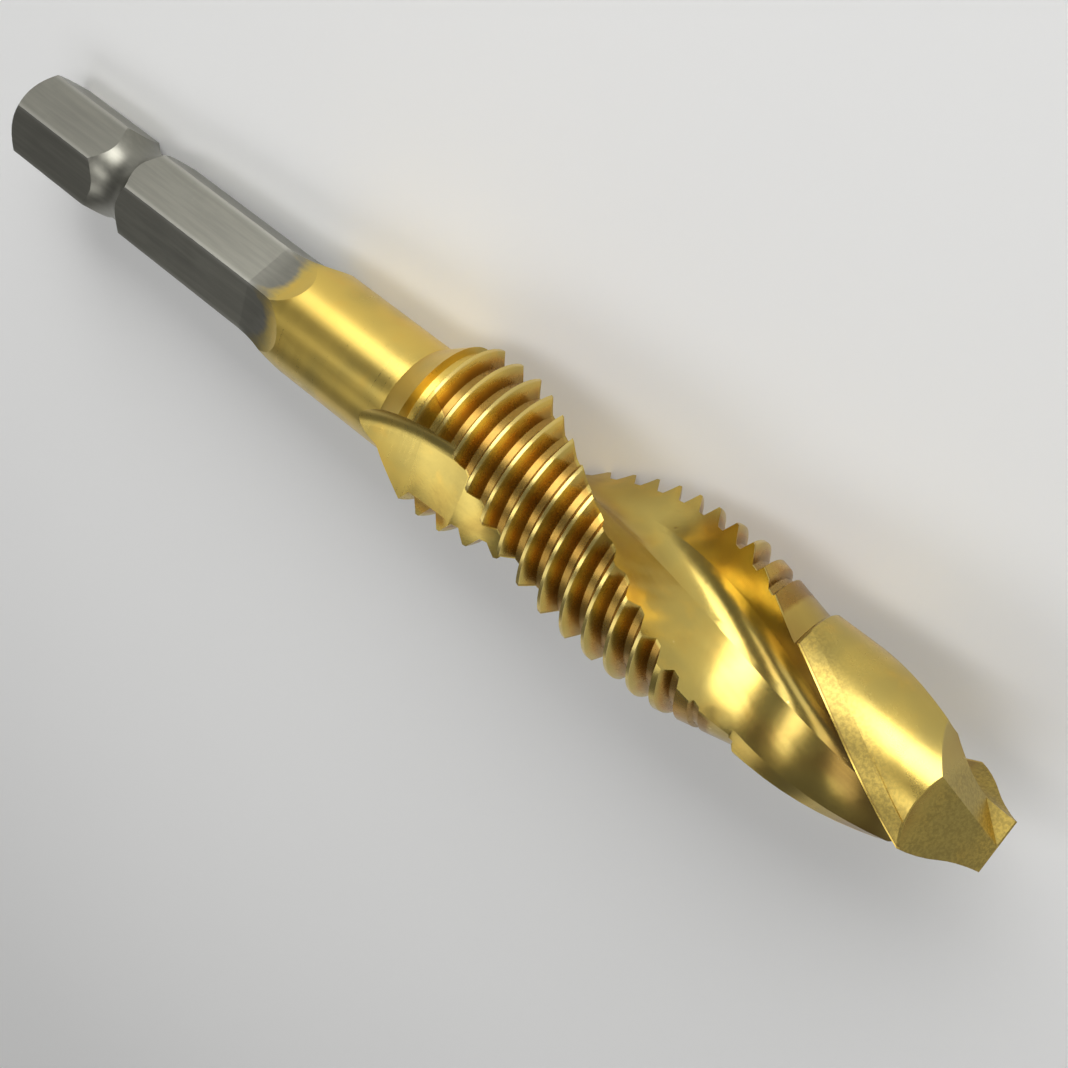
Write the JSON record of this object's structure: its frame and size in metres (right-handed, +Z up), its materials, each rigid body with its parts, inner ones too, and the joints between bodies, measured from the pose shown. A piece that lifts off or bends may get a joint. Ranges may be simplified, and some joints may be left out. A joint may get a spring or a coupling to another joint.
{
  "type": "drill and thread tap bit",
  "caption": "One-piece combined drill and thread tap with helical flutes, a taper lead, a round neck and a hexagon power shank with a drive groove.",
  "frame": {"origin": "on the bench plane, under the centre of the tool's bounding box, as the tool lies at rest", "axes": "+X along the tool towards the drill point, +Z up; the shank end lies lower than the point by a slope of 3.2 degrees, because the shank is thinner than the thread"},
  "size_m": [0.0838, 0.012, 0.0128],
  "materials": {
    "coated_steel": "titanium-nitride gold on the cutting end and neck, bare grey steel on the shank"
  },
  "bodies": {
    "root": {"drill_tap": "coated_steel"}
  },
  "joints": []
}
